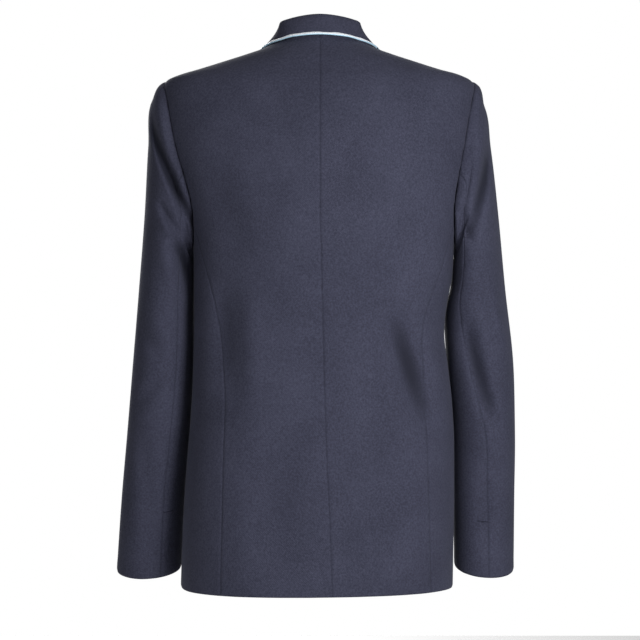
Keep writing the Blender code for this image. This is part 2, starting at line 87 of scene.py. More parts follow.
Light = namedtuple("Light", "name x y z size watts")
STUDIO_LIGHTS = (
    Light("key", -0.52, 0.95, -0.20, 0.4, 9.2),
    Light("fill", 0.9, 2.4, -0.2, 1.5, 7),
    Light("top", 0.0, 0.8, 1.8, 1.2, 7),
    Light("front", 0.6, -2.6, 0.6, 1.6, 60),
)
for light in STUDIO_LIGHTS:
    lamp = bpy.data.lights.new(f"{light.name}_light", "AREA")
    lamp.size = light.size
    lamp.energy = light.watts
    stand = bpy.data.objects.new(f"{light.name}_light", lamp)
    stand.location = (light.x, light.y, light.z)
    towards = -stand.location.copy()
    towards.z += CAMERA_HEIGHT
    stand.rotation_euler = towards.to_track_quat("-Z", "Y").to_euler()
    bpy.context.scene.collection.objects.link(stand)

floor_mesh = bpy.data.meshes.new("studio_floor")
corners = [(x * FLOOR_REACH, y * FLOOR_REACH) for x, y in ((-1, -1), (1, -1), (1, 1), (-1, 1))]
floor_mesh.from_pydata([(*corner, FLOOR_HEIGHT) for corner in corners], [], [range(4)])
floor = bpy.data.objects.new("studio_floor", floor_mesh)
bpy.context.scene.collection.objects.link(floor)
floor_paint = bpy.data.materials.new("studio_white")
floor_paint.use_nodes = True
paint = floor_paint.node_tree.nodes["Principled BSDF"].inputs
paint["Base Color"].default_value = FLOOR_PALE
paint["Roughness"].default_value = 1.0
floor_mesh.materials.append(floor_paint)

# The two backs, which set the shape of the whole body. Each is one piece of navy wool-mix
# suiting, from the side-back seam and the armhole to the centre-back seam, and up to the neck.
# They are sewn face to face and pressed open, so that each edge rolls in at its seam.
Section = namedtuple("Section", "height left right back front square turn")
BODY = (
    Section(-0.651, 0.168, 0.16, 0.117, 0.112, 2.4, 7.0),
    Section(-0.6, 0.1665, 0.161, 0.115, 0.11, 2.4, 6.3),
    Section(-0.54, 0.1635, 0.162, 0.1115, 0.108, 2.4, 5.3),
    Section(-0.48, 0.159, 0.162, 0.107, 0.105, 2.4, 4.0),
    Section(-0.43, 0.155, 0.1595, 0.102, 0.101, 2.4, 3.2),
    Section(-0.385, 0.1533, 0.1545, 0.0985, 0.098, 2.4, 2.6),
    Section(-0.345, 0.1525, 0.15, 0.097, 0.097, 2.4, 2.1),
    Section(-0.31, 0.1525, 0.1535, 0.0985, 0.099, 2.4, 1.6),
    Section(-0.275, 0.1525, 0.16, 0.1025, 0.102, 2.4, 1.1),
    Section(-0.24, 0.153, 0.162, 0.107, 0.105, 2.4, 0.6),
    Section(-0.2, 0.16, 0.168, 0.111, 0.106, 2.4, 0.0),
    Section(-0.16, 0.173, 0.177, 0.112, 0.103, 2.4, 0.0),
    Section(-0.12, 0.184, 0.184, 0.109, 0.097, 2.4, 0.0),
    Section(-0.085, 0.189, 0.188, 0.103, 0.089, 2.35, 0.0),
    Section(-0.06, 0.1905, 0.19, 0.096, 0.081, 2.3, 0.0),
    Section(-0.048, 0.1895, 0.1875, 0.0915, 0.076, 2.25, 0.0),
    Section(-0.0415, 0.185, 0.1825, 0.0885, 0.073, 2.2, 0.0),
    Section(-0.035, 0.17, 0.169, 0.0845, 0.0695, 2.2, 0.0),
    Section(-0.03, 0.1525, 0.15, 0.082, 0.067, 2.2, 0.0),
    Section(-0.0205, 0.1215, 0.1195, 0.0765, 0.0625, 2.2, 0.0),
    Section(-0.0109, 0.0915, 0.09, 0.0695, 0.058, 2.15, 0.0),
    Section(-0.003, 0.069, 0.069, 0.0635, 0.055, 2.1, 0.0),
    Section(0.004, 0.058, 0.058, 0.059, 0.052, 2.0, 0.0),
    Section(0.0205, 0.05, 0.05, 0.05, 0.047, 2.0, 0.0),
    Section(0.04, 0.046, 0.046, 0.048, 0.045, 2.0, 0.0),
)
SeamPlace = namedtuple("SeamPlace", "height back front")
SEAMS = (
    SeamPlace(-0.651, 44.0, -26.0),
    SeamPlace(-0.52, 45.0, -26.0),
    SeamPlace(-0.43, 45.0, -26.0),
    SeamPlace(-0.39, 43.5, -26.0),
    SeamPlace(-0.351, 41.5, -26.0),
    SeamPlace(-0.313, 37.5, -25.5),
    SeamPlace(-0.275, 30.5, -24.5),
    SeamPlace(-0.24, 22.0, -23.0),
    SeamPlace(-0.215, 16.0, -21.0),
)
ARMHOLE = (
    SeamPlace(-0.215, 16.0, -21.0),
    SeamPlace(-0.2, 20.0, -24.0),
    SeamPlace(-0.18, 22.5, -26.5),
    SeamPlace(-0.158, 23.5, -27.5),
    SeamPlace(-0.135, 23.0, -27.0),
    SeamPlace(-0.112, 22.0, -25.5),
    SeamPlace(-0.09, 20.5, -23.5),
    SeamPlace(-0.07, 18.0, -20.5),
    SeamPlace(-0.055, 14.0, -16.0),
    SeamPlace(-0.0415, 0.0, 0.0),
)
HEM, SEAM_JOIN, SHOULDER_TIP, NECK_POINT, NAPE_HEIGHT = -0.651, -0.215, -0.0415, -0.003, 0.0145
LOWER_ROWS = (-0.651, -0.600, -0.545, -0.490, -0.440, -0.395, -0.355, -0.320, -0.285, -0.250)
ARMHOLE_ROWS = tuple(place.height for place in ARMHOLE)
SHOULDER_ROWS = (-0.036, -0.030, -0.0235, -0.0165, -0.009, -0.003)
ROWS_BETWEEN = 6
NAPE_STEPS = 14

# Cloth 1.2 mm thick. Its edges roll in where they are sewn or folded, then run inwards as the
# turned-in allowance. By an edge the points crowd together at these distances, in metres.
CLOTH_WALL = 0.0012
ROLL_DEPTH = 0.0006
ROLL_WIDTH = 0.0015
TURNED_IN = 0.0040
FREE_EDGE = 0.0008
EDGE_STEPS = (0.0, 0.0, 0.0005, 0.0011, 0.0019, 0.0030, 0.0046)
EDGE_WITHIN = 4
TINY = 1e-9
# Points from which the outer face of a panel is seen, or its inner face, within the body
BEHIND, BEFORE, WITHIN, ABOVE = (0, 1, -0.3), (0, -1, -0.3), (0, 0, -0.4), (0, 0, 0.2)


def cubic(first, last, slope, last_slope, step, t):
    """A smooth step from one value to the next, which leaves and arrives at given slopes."""
    ends = first * (1 + 2 * t) * (1 - t) ** 2 + last * t * t * (3 - 2 * t)
    return ends + step * t * (1 - t) * (slope * (1 - t) - last_slope * t)


def bent(start, bend, end, share):
    """The place on a line that starts, bends and ends at three points."""
    return start * (1 - share) ** 2 + 2 * bend * share * (1 - share) + end * share ** 2


def curve(places, values, at):
    """A smooth curve through values at rising places, with no overshoot, read at other places."""
    steps = np.diff(places)
    rises = np.diff(values) / steps
    slopes = np.concatenate([rises[:1], np.zeros(len(rises) - 1), rises[-1:]])
    same = rises[:-1] * rises[1:] > 0
    slopes[1:-1][same] = 2 * rises[:-1][same] * rises[1:][same] / (rises[:-1] + rises[1:])[same]
    at = np.clip(at, places[0], places[-1])
    i = np.clip(np.searchsorted(places, at) - 1, 0, len(steps) - 1)
    t = (at - places[i]) / steps[i]
    return cubic(values[i], values[i + 1], slopes[i], slopes[i + 1], steps[i], t)


def column(table, name):
    return np.array([getattr(row, name) for row in table], float)


def read(table, name, at, key="height"):
    return curve(column(table, key), column(table, name), at)


def unit(vectors):
    return vectors / np.maximum(np.linalg.norm(vectors, axis=-1, keepdims=True), TINY)


def mix(first, last, share):
    return first + (last - first) * share


def smooth(share):
    share = np.clip(share, 0, 1)
    return share * share * (3 - 2 * share)


def half_width(height, leftward):
    return np.where(leftward > 0, read(BODY, "left", height), read(BODY, "right", height))


def body_skin(height, angle):
    """The body's outside, at a height and an angle round it: 0 at the wearer's left, 90 behind."""
    height, angle = np.broadcast_arrays(np.asarray(height, float), np.radians(angle))
    cosine, sine = np.cos(angle), np.sin(angle)
    power = 2 / read(BODY, "square", height)
    depth = np.where(sine > 0, read(BODY, "back", height), read(BODY, "front", height))
    x = np.sign(cosine) * np.abs(cosine) ** power * half_width(height, cosine)
    y = np.sign(sine) * np.abs(sine) ** power * depth
    turn = np.radians(read(BODY, "turn", height))
    across = x * np.cos(turn) - y * np.sin(turn)
    return np.stack([across, x * np.sin(turn) + y * np.cos(turn), height], axis=-1)


def body_out(height, angle, lift):
    """A point of the body's outside, moved straight out of the cloth."""
    step_up, step_round = 0.0005, 0.5
    up = body_skin(height + step_up, angle) - body_skin(height - step_up, angle)
    way = body_skin(height, angle + step_round) - body_skin(height, angle - step_round)
    return body_skin(height, angle) + unit(np.cross(way, up)) * np.asarray(lift)[..., None]


def own_angle(side, angle):
    """An angle measured from a side's own side line, as one measured from the wearer's left."""
    return angle if side == "left" else 180 - angle


def finer(rows, between):
    """The rows with more of them put in between."""
    places = np.arange(len(rows))
    return np.interp(np.linspace(0, len(rows) - 1, (len(rows) - 1) * between + 1), places, rows)


def run_of(line):
    """How far along a line of points each of them lies."""
    return np.concatenate([[0], np.cumsum(np.linalg.norm(np.diff(line, axis=0), axis=1))])


def laid_out(line, count):
    """A line of points read again at even steps, with closer ones by its two ends."""
    run = run_of(line)
    close = np.array(EDGE_STEPS) * min(1, run[-1] / (4 * EDGE_STEPS[-1]))
    even = np.linspace(close[-1], run[-1] - close[-1], count)
    at = np.concatenate([close[:-1], even, (run[-1] - close[:-1])[::-1]])
    return np.stack([np.interp(at, run, line[:, axis]) for axis in range(3)], axis=1)


def laid_rows(grid, count):
    return np.array([laid_out(line, count) for line in grid])


def laid_columns(grid, count):
    return laid_rows(grid.transpose(1, 0, 2), count).transpose(1, 0, 2)


def facings(grid, outside):
    """Which way each point of a grid faces, turned to the side on which a point outside lies."""
    normals = grid.copy()
    normals[1:-1, 1:-1] = unit(np.cross(
        grid[2:, 1:-1] - grid[:-2, 1:-1], grid[1:-1, 2:] - grid[1:-1, :-2]
    ))
    by_edges = ((0, 2), (1, 2), (-1, -3), (-2, -3))
    for edge, beside in by_edges:
        normals[edge, 1:-1] = normals[beside, 1:-1]
    for edge, beside in by_edges:
        normals[:, edge] = normals[:, beside]
    middle = tuple(count // 2 for count in grid.shape[:2])
    turned = np.dot(normals[middle], np.asarray(outside) - grid[middle]) < 0
    return -normals if turned else normals


def runs(grid):
    """How far each point of a grid lies along its row, and along its column."""
    across = np.array([run_of(line) for line in grid])
    return across, np.array([run_of(line) for line in grid.transpose(1, 0, 2)]).T


def edge_distance(grid):
    """How far each point of a grid lies from its nearest edge, along the cloth."""
    across, along = runs(grid)
    return np.minimum.reduce([across, across[:, -1:] - across, along, along[-1:] - along])


def grid_faces(rows, columns, closed=False):
    """The faces between a grid's points, and from its last column to its first if it is closed."""
    return [
        (j * columns + i, j * columns + (i + 1) % columns,
         (j + 1) * columns + (i + 1) % columns, (j + 1) * columns + i)
        for j in range(rows - 1) for i in range(columns if closed else columns - 1)
    ]


# Creases and drape, as soft troughs, or ridges where the depth is below 0. They are listed as
# seen from behind and from in front. A row has the width and the height at which the crease
# starts, bends and ends, and then how wide and how deep it is.
BODY_CREASES = {
    "back": (
        (-0.084, -0.318, -0.101, -0.379, -0.13, -0.462, 0.015, 0.0115),
        (-0.062, -0.325, -0.082, -0.405, -0.104, -0.49, 0.016, -0.0035),
        (-0.112, -0.3, -0.124, -0.36, -0.146, -0.42, 0.011, -0.0025),
        (0.112, -0.28, 0.104, -0.345, 0.11, -0.425, 0.019, 0.0078),
        (0.086, -0.3, 0.079, -0.36, 0.084, -0.44, 0.016, -0.004),
        (-0.146, -0.29, -0.149, -0.33, -0.154, -0.385, 0.006, -0.003),
        (-0.062, -0.4, -0.072, -0.5, -0.07, -0.64, 0.024, 0.0045),
        (0.12, -0.15, 0.108, -0.205, 0.092, -0.262, 0.018, 0.004),
        (-0.118, -0.14, -0.108, -0.205, -0.096, -0.262, 0.018, 0.0038),
        (0.052, -0.45, 0.046, -0.55, 0.056, -0.65, 0.026, 0.0042),
        (0.085, -0.43, 0.092, -0.54, 0.094, -0.65, 0.022, -0.0025),
        (-0.108, -0.48, -0.112, -0.57, -0.104, -0.65, 0.02, -0.003),
        (0.07, -0.06, 0.04, -0.09, 0.02, -0.15, 0.018, 0.0025),
        (-0.074, -0.06, -0.046, -0.1, -0.03, -0.16, 0.018, 0.0025),
        (-0.012, -0.022, 0.0, -0.034, 0.014, -0.021, 0.009, 0.0016),
    ),
    "front": (
        (0.132, -0.27, 0.085, -0.32, 0.03, -0.338, 0.013, 0.0055),
        (-0.136, -0.262, -0.09, -0.308, -0.034, -0.33, 0.012, 0.005),
        (0.12, -0.36, 0.08, -0.35, 0.034, -0.345, 0.01, 0.0036),
        (-0.124, -0.38, -0.085, -0.356, -0.036, -0.344, 0.011, 0.004),
        (0.08, -0.44, 0.072, -0.54, 0.078, -0.65, 0.02, 0.0034),
        (-0.086, -0.43, -0.09, -0.53, -0.082, -0.65, 0.022, 0.0036),
        (0.125, -0.12, 0.11, -0.175, 0.112, -0.23, 0.013, 0.0036),
        (-0.125, -0.115, -0.114, -0.17, -0.112, -0.235, 0.013, 0.0036),
    ),
}
CREASE_STEPS = 96
CREASE_TAPER = 0.6


def creased(grid, normals, creases, outward=1):
    """The grid pressed in along each crease, on the side from which the crease is seen."""
    share = np.linspace(0, 1, CREASE_STEPS)[:, None]
    pressed = grid.copy()
    depth = np.zeros(grid.shape[:2])
    seen = np.stack([grid[..., 0] * outward, grid[..., 2]], axis=-1)
    for side, (*places, wide, deep) in ((side, row) for side in creases for row in creases[side]):
        line = bent(*np.array(places).reshape(3, 2), share)
        away = np.linalg.norm(seen[..., None, :] - line, axis=-1)
        fade = np.sin(np.pi * (away.argmin(axis=-1) + 0.5) / CREASE_STEPS) ** CREASE_TAPER
        way = 1 if side == "back" else -1
        shown = np.clip(normals[..., 1] * way * 2, 0, 1)
        fold = deep * np.exp(-(away.min(axis=-1) / wide) ** 2) * fade * shown
        pressed[..., 1] -= way * fold
        depth += fold
    return pressed, depth


# Where two edges are sewn, the seam draws up a little: short uneven waves that die away
# from it. Each wave has a length along the seam and a share of the height.
Wave = namedtuple("Wave", "length share")
PUCKERS = (Wave(0.031, 0.45), Wave(0.019, 0.35), Wave(0.0127, 0.20))
PUCKER_HEIGHT = 0.00035
PUCKER_REACH = 0.008
PUCKER_SLANT = 0.7


def puckered(grid, normals, distance):
    place = grid[..., 2] + PUCKER_SLANT * grid[..., 0]
    wave = sum(w.share * np.sin(2 * np.pi * place / w.length) for w in PUCKERS)
    height = PUCKER_HEIGHT * wave * np.exp(-distance / PUCKER_REACH)
    return grid + normals * height[..., None]


class Wire:
    """A shader socket that can be used in sums, and the tree in which other nodes are made."""

    def __init__(self, tree, socket=None):
        self.tree, self.socket = tree, socket

    def node(self, kind, settings=(), inputs=(), output=0):
        made = self.tree.nodes.new(kind)
        for name, value in dict(settings).items():
            setattr(made, name, value)
        for name, value in dict(inputs).items():
            if isinstance(value, Wire):
                self.tree.links.new(value.socket, made.inputs[name])
            else:
                made.inputs[name].default_value = value
        return Wire(self.tree, made.outputs[output])

    def maths(self, operation, *values):
        return self.node("ShaderNodeMath", {"operation": operation}, enumerate(values))

    def held(self):
        return self.maths("MINIMUM", self.maths("MAXIMUM", self, 0.0), 1.0)

    def feed(self, socket):
        self.tree.links.new(self.socket, socket)

    def __add__(self, other):
        return self.maths("ADD", self, other)

    def __sub__(self, other):
        return self.maths("SUBTRACT", self, other)

    def __mul__(self, other):
        return self.maths("MULTIPLY", self, other)

    def __truediv__(self, other):
        return self.maths("DIVIDE", self, other)

    def __pow__(self, other):
        return self.maths("POWER", self, other)

    def __rsub__(self, other):
        return self.maths("SUBTRACT", other, self)

    __radd__ = __add__
    __rmul__ = __mul__


def mixed(wire, first, last, share):
    """One colour laid over another by a share from 0 to 1."""
    return wire.node(
        "ShaderNodeMix", {"data_type": "RGBA"}, {0: share, 6: first, 7: last}, output=2
    )


def laid_mesh(name, points, faces, laid, **measures):
    """A smooth mesh, with its cloth laid out flat as a UV map, and measures for its material."""
    mesh = bpy.data.meshes.new(name)
    mesh.from_pydata(points.reshape(-1, 3).tolist(), [], faces)
    mesh.shade_smooth()
    at = [point for face in faces for point in face]
    grain = mesh.uv_layers.new(name="grain")
    grain.uv.foreach_set("vector", laid.reshape(-1, 2)[at].ravel().astype(np.float32))
    for measure, values in measures.items():
        mesh.attributes.new(measure, "FLOAT", "POINT").data.foreach_set(
            "value", values.ravel().astype(np.float32)
        )
    return mesh


def new_material(name):
    """A new material, its shader's inputs, and a wire for its nodes."""
    made = bpy.data.materials.new(name)
    made.use_nodes = True
    return made, made.node_tree.nodes["Principled BSDF"].inputs, Wire(made.node_tree)


def noise(wire, size, **settings):
    """Cloudy noise with patches of a size in metres, and the place that it is read at."""
    place = wire.node("ShaderNodeTexCoord", output=3)
    return wire.node("ShaderNodeTexNoise", (), {"Vector": place, "Scale": 1 / size, **settings})


def diagonal_ribs(wire, spacing, **settings):
    """The slanting ribs of a weave, at a spacing in metres along the laid-out cloth."""
    grain = wire.node("ShaderNodeUVMap", {"uv_map": "grain"})
    return wire.node(
        "ShaderNodeTexWave", {"wave_type": "BANDS", "bands_direction": "DIAGONAL"},
        {"Vector": grain, "Scale": math.tau / (20 * spacing), **settings}, output=1,
    )


# Navy suiting: a fine plain twill in two near shades of worsted, brushed so that it has a
# faint nap. Shade is painted into its colour along its seams and deep in its creases,
# where little light gets in.
NAVY = (0.0300, 0.0315, 0.0540, 1)
NAVY_LIGHT_YARN = (0.0580, 0.0605, 0.0980, 1)
NAVY_PAINTED_SHADE = (0.0120, 0.0130, 0.0240, 1)
TWILL_SPACING = 0.0013
FLECK_SIZE = 0.0021
FLECK_CONTRAST = 1.9
NAP_PATCH = 0.060
NAP_CONTRAST = 0.9
# How much shade is painted along the seams and over what width, and into the creases from what depth.
SEAM_SHADE, SEAM_SHADE_WIDTH = 0.30, 0.0011
FOLD_SHADE, FOLD_START, FOLD_DEEP = 0.90, 0.0040, 0.0070
LIGHT_YARN_SHARE = 0.4
RIB_RELIEF, FLECK_RELIEF = 0.35, 0.65


def navy_suiting():
    cloth, shader, wire = new_material("navy_suiting")
    fleck = noise(wire, FLECK_SIZE, Detail=2.0)
    patch = noise(wire, NAP_PATCH, Detail=3.0)
    ribs = diagonal_ribs(wire, TWILL_SPACING, Distortion=1.5, Detail=1.0)
    seam, fold = (
        wire.node("ShaderNodeAttribute", {"attribute_name": measure}, output=2)
        for measure in ("seam", "fold")
    )
    share = (fleck - 0.5) * FLECK_CONTRAST + (patch - 0.5) * NAP_CONTRAST + LIGHT_YARN_SHARE
    yarn = mixed(wire, NAVY, NAVY_LIGHT_YARN, share.held())
    # Painted shade: the colour is darkened along each seam, and in each crease by its depth.
    seam_painted_shade = wire.maths("EXPONENT", 0 - (seam / SEAM_SHADE_WIDTH) ** 2) * SEAM_SHADE
    hollow = ((fold - FOLD_START) / FOLD_DEEP).held() * FOLD_SHADE
    mixed(wire, yarn, NAVY_PAINTED_SHADE, wire.maths("MAXIMUM", seam_painted_shade, hollow)).feed(shader["Base Color"])
    height = ribs * RIB_RELIEF + fleck * FLECK_RELIEF
    relief = {"Strength": 0.35, "Distance": 0.0004, "Height": height}
    wire.node("ShaderNodeBump", (), relief).feed(shader["Normal"])
    shader["Roughness"].default_value = 0.88
    shader["Specular IOR Level"].default_value = 0.25
    shader["Sheen Weight"].default_value = 0.06
    shader["Sheen Roughness"].default_value = 0.45
    shader["Sheen Tint"].default_value = (0.75, 0.80, 1.0, 1)
    return cloth


suiting = navy_suiting()


def sewn_panel(name, grid, outside, creases=(), joined=(), outward=1, turned_in=TURNED_IN):
    """A panel of navy suiting on the points of its outer face, made up and put in its place."""
    normals = facings(grid, outside)
    grid, fold = creased(grid, normals, creases, outward)
    distance = edge_distance(grid)
    grid = puckered(grid, normals, distance)
    roll = ROLL_DEPTH * np.exp(-(distance / ROLL_WIDTH) ** 2)
    roll[0] = roll[-1] = roll[:, 0] = roll[:, -1] = turned_in
    grid = grid - normals * roll[..., None]
    turned = grid.transpose(1, 0, 2)
    ends = {"first": turned, "last": turned[::-1], "bottom": grid}
    for lines in (ends[place] for place in joined):
        lines[0] += unit(lines[1] - lines[EDGE_WITHIN]) * turned_in
    return shell(f"{name}_cloth", name, grid, normals, distance, fold)


def shell(name, node, grid, normals, distance, fold):
    """A thin shell of suiting through a grid of points, in the place of a CAD node."""
    rows, columns = grid.shape[:2]
    corners = grid_faces(rows, columns)
    middle = (rows // 2, columns // 2)
    step_on = grid[rows // 2, columns // 2 + 1] - grid[middle]
    step_up = grid[rows // 2 + 1, columns // 2] - grid[middle]
    if np.dot(np.cross(step_on, step_up), normals[middle]) < 0:
        corners = [face[::-1] for face in corners]
    mesh = laid_mesh(name, grid, corners, np.stack(runs(grid), axis=-1), seam=distance, fold=fold)
    mesh.materials.append(suiting)
    piece = bpy.data.objects.new(name, mesh)
    bpy.context.scene.collection.objects.link(piece)
    wall = piece.modifiers.new("cloth_wall", "SOLIDIFY")
    wall.thickness = CLOTH_WALL
    wall.offset = -1
    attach(piece, "root")
    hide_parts(node)
    return piece


def outer_edge(part, height):
    """The angle of a back's or a front's outer edge: its seam, the armhole, the shoulder seam."""
    if height < SHOULDER_TIP:
        return float(read(SEAMS if height < SEAM_JOIN else ARMHOLE, part, height))
    return 0.0


# Rows of points up the whole body, closer together by the hem.
BODY_ROWS = np.concatenate([
    HEM + np.array(EDGE_STEPS),
    finer(LOWER_ROWS + ARMHOLE_ROWS + SHOULDER_ROWS, ROWS_BETWEEN)[2:],
])
BACK_FINE = 260
BACK_COUNT = 52
NAPE_CLEAR = 0.02


def back_grid(side):
    rows = [(height, outer_edge("back", height), 0.0) for height in BODY_ROWS]
    shares = np.linspace(0, 1, NAPE_STEPS + 1)[1:-1]
    nape_end = 1 - np.array(EDGE_STEPS[::-1]) / (NAPE_HEIGHT - NECK_POINT)
    shares = np.concatenate([shares[shares < nape_end[0] - NAPE_CLEAR], nape_end])
    rows += [(NECK_POINT, 0.0, share) for share in shares]
    across = np.linspace(0, 1, BACK_FINE)
    angle = np.array([mix(edge, 90.0, across) for _, edge, _ in rows])
    rise = (NAPE_HEIGHT - NECK_POINT) * np.sin(np.radians(angle)) ** 2
    height = np.array([[row[0]] for row in rows]) + np.array([[row[2]] for row in rows]) * rise
    return laid_rows(body_skin(height, own_angle(side, angle)), BACK_COUNT)


for side in ("left", "right"):
    back = sewn_panel(
        f"back_{side}", back_grid(side), BEHIND, BODY_CREASES, joined=("first", "last")
    )

# The side bodies, one under each arm: a narrow panel between the back and the front, which lets
# the body be shaped at the waist. Its top edge is the foot of the armhole.
UnderarmPlace = namedtuple("UnderarmPlace", "angle height")
UNDERARM = (
    UnderarmPlace(-21.0, -0.215),
    UnderarmPlace(-12.0, -0.235),
    UnderarmPlace(-1.0, -0.243),
    UnderarmPlace(8.0, -0.235),
    UnderarmPlace(16.0, -0.215),
)
SIDE_FINE = 120
SIDE_COUNT = 26
SIDE_TOP_SHARES = (0.12, 0.25, 0.4, 0.55, 0.7, 0.82, 0.9, 0.95, 0.98, 1.0)


def side_grid(side):
    across = np.linspace(0, 1, SIDE_FINE)
    top_angle = mix(UNDERARM[0].angle, UNDERARM[-1].angle, across)
    top_height = read(UNDERARM, "height", top_angle, "angle")
    below = BODY_ROWS[BODY_ROWS <= LOWER_ROWS[-1] + TINY]
    angles = [mix(outer_edge("front", row), outer_edge("back", row), across) for row in below]
    rows = [
        body_skin(np.full(SIDE_FINE, row), own_angle(side, angle))
        for row, angle in zip(below, angles)
    ]
    for share in SIDE_TOP_SHARES:
        angle = mix(angles[-1], top_angle, share)
        rows.append(body_skin(mix(below[-1], top_height, share), own_angle(side, angle)))
    return laid_rows(np.array(rows), SIDE_COUNT)


for side, outward in (("left", 1), ("right", -1)):
    panel = sewn_panel(
        f"side_{side}", side_grid(side), (outward, 0, -0.4), BODY_CREASES, joined=("first", "last"),
    )

# The fronts, from the underarm seam to a free edge, which turns out as the lapel above the top
# button. The wearer's right front laps over the left one and rises a little to clear it.
LAP = 0.018
LAP_LIFT = 0.0056
LAP_START = 0.050
LAP_END = 0.022
LAP_TOP = -0.170
LAP_RISE = 0.070
BREAK_FOOT = -0.330
BREAK_TOP_X = 0.060
FRONT_FINE = 240
FRONT_COUNT = 46


def front_angle(side, height, x):
    """The angle from a side's own side line at which the front lies at a width on that side."""
    across = x if side == "left" else -x
    share = np.clip(np.abs(across) / half_width(height, across), 0, 1)
    ratio = share ** (read(BODY, "square", height) / 2)
    angle = -np.degrees(np.arccos(np.sign(across) * ratio))
    return angle if side == "left" else -180 - angle


def own_width(side, height, angle):
    """How far a point of the body lies from the middle towards its own side, before the twist."""
    cosine = np.cos(np.radians(own_angle(side, angle)))
    power = 2 / read(BODY, "square", height)
    across = np.sign(cosine) * np.abs(cosine) ** power * half_width(height, cosine)
    return across if side == "left" else -across


def break_x(height):
    """How far the front's free edge, or the lapel's roll line, lies from the centre front."""
    share = np.clip((height - BREAK_FOOT) / (NECK_POINT - BREAK_FOOT), 0, 1)
    return mix(-LAP, BREAK_TOP_X, share)


def lap_lift(side, height, x):
    """How far the right front stands off the body where it lies over the left one."""
    if side == "left":
        return np.zeros_like(x)
    near = smooth((LAP_START - x) / (LAP_START - LAP_END))
    return LAP_LIFT * near * smooth((LAP_TOP - height) / LAP_RISE)


def front_point(side, height, angle, lift):
    """A point of a front, at a height and an angle from its own side line, lifted off it."""
    lift = lift + lap_lift(side, height, own_width(side, height, angle))
    return body_out(height, own_angle(side, angle), lift)


def front_grid(side):
    across = np.linspace(0, 1, FRONT_FINE)
    rows = []
    for height in BODY_ROWS:
        free = front_angle(side, height, break_x(height))
        angle = mix(outer_edge("front", height), free, across)
        rows.append(front_point(side, np.full(FRONT_FINE, height), angle, 0.0))
    return laid_rows(np.array(rows), FRONT_COUNT)


for side in ("left", "right"):
    front = sewn_panel(f"front_{side}", front_grid(side), BEFORE, BODY_CREASES, joined=("first",))

# The lapels: the tops of the fronts, faced with the same suiting and turned out. Each rolls
# softly round the front's edge, and lies on the front up to its point and its notch.
EdgePlace = namedtuple("EdgePlace", "height x")
LAPEL_EDGE = (
    EdgePlace(-0.326, -0.014),
    EdgePlace(-0.3, 0.008),
    EdgePlace(-0.26, 0.034),
    EdgePlace(-0.21, 0.06),
    EdgePlace(-0.16, 0.081),
    EdgePlace(-0.115, 0.098),
    EdgePlace(-0.085, 0.108),
)
LAPEL_FOOT = -0.326
LAPEL_POINT_HEIGHT = -0.085
GORGE_HEIGHT = -0.050
LAPEL_LIFT = 0.0022
LAPEL_EDGE_LIFT = 0.0027
LAPEL_BELLY = 0.0010
LAPEL_FINE = 160
LAPEL_ROWS = 70
LAPEL_COUNT = 22


def lapel_grid(side):
    up = np.linspace(0, 1, LAPEL_FINE)[:, None]
    out = np.linspace(0, 1, LAPEL_FINE)[None, :]
    roll_height = mix(LAPEL_FOOT, GORGE_HEIGHT, up)
    edge_height = mix(LAPEL_FOOT, LAPEL_POINT_HEIGHT, up)
    height = mix(roll_height, edge_height, out)
    x = mix(break_x(roll_height), read(LAPEL_EDGE, "x", edge_height), out)
    belly = LAPEL_BELLY * np.sin(np.pi * out) * np.sin(np.pi * up)
    lift = mix(LAPEL_LIFT, LAPEL_EDGE_LIFT, out) + belly
    grid = front_point(side, height, front_angle(side, height, x), lift)
    return laid_columns(laid_rows(grid, LAPEL_COUNT), LAPEL_ROWS)


for side in ("left", "right"):
    lapel = sewn_panel(f"lapel_{side}", lapel_grid(side), BEFORE, turned_in=FREE_EDGE)

# The sleeves, each a top sleeve and an under sleeve, sewn along the forearm and the hindarm and
# set into the armhole with a little fullness. They hang forwards, as an arm does, and crease
# below the shoulder, at the underarm and inside the elbow.
Ring = namedtuple("Ring", "along out_x out_z in_x in_z back front drop hind")
SLEEVES = {
    "left": (
        Ring(0.03, 0.2035, -0.065, 0.1532, -0.25, 0.054, -0.064, 0.0, 122),
        Ring(0.085, 0.2085, -0.12, 0.153, -0.266, 0.051, -0.077, 0.0, 122),
        Ring(0.165, 0.213, -0.2, 0.1534, -0.29, 0.048, -0.08, 0.0, 122),
        Ring(0.255, 0.22, -0.29, 0.1538, -0.325, 0.044, -0.08, 0.0, 122),
        Ring(0.35, 0.228, -0.385, 0.1541, -0.385, 0.037, -0.077, 0.002, 122),
        Ring(0.435, 0.2352, -0.47, 0.1587, -0.464, 0.03, -0.074, 0.003, 118),
        Ring(0.51, 0.2422, -0.545, 0.1648, -0.54, 0.02, -0.076, 0.004, 115),
        Ring(0.59, 0.249, -0.635, 0.17, -0.632, 0.01, -0.08, 0.009, 116),
    ),
    "right": (
        Ring(0.03, 0.199, -0.071, 0.1622, -0.25, 0.054, -0.064, 0.0, 122),
        Ring(0.085, 0.207, -0.121, 0.1612, -0.266, 0.055, -0.073, 0.0, 124),
        Ring(0.165, 0.2165, -0.2, 0.1592, -0.29, 0.048, -0.081, 0.0, 126),
        Ring(0.255, 0.226, -0.29, 0.1522, -0.325, 0.034, -0.09, 0.0, 126),
        Ring(0.35, 0.2362, -0.385, 0.1553, -0.385, 0.03, -0.084, 0.002, 114),
        Ring(0.435, 0.2384, -0.47, 0.162, -0.464, 0.022, -0.08, 0.003, 92),
        Ring(0.51, 0.238, -0.545, 0.1632, -0.54, 0.013, -0.082, 0.004, 88),
        Ring(0.59, 0.2372, -0.634, 0.1645, -0.63, 0.01, -0.08, 0.009, 85),
    ),
}
FORE_SEAM = 225
HIND_PLACE, FORE_PLACE = 6, 15
FOOT_PLACE, FRONT_FOOT_PLACE, LAST_PLACE = 9, 13, 22
LOOP_BETWEEN = 16
HEAD_FULLNESS = 1.2
HEAD_FALL = 0.35
HEAD_SPREAD = 0.25
UNDERARM_SPREAD = 1.6
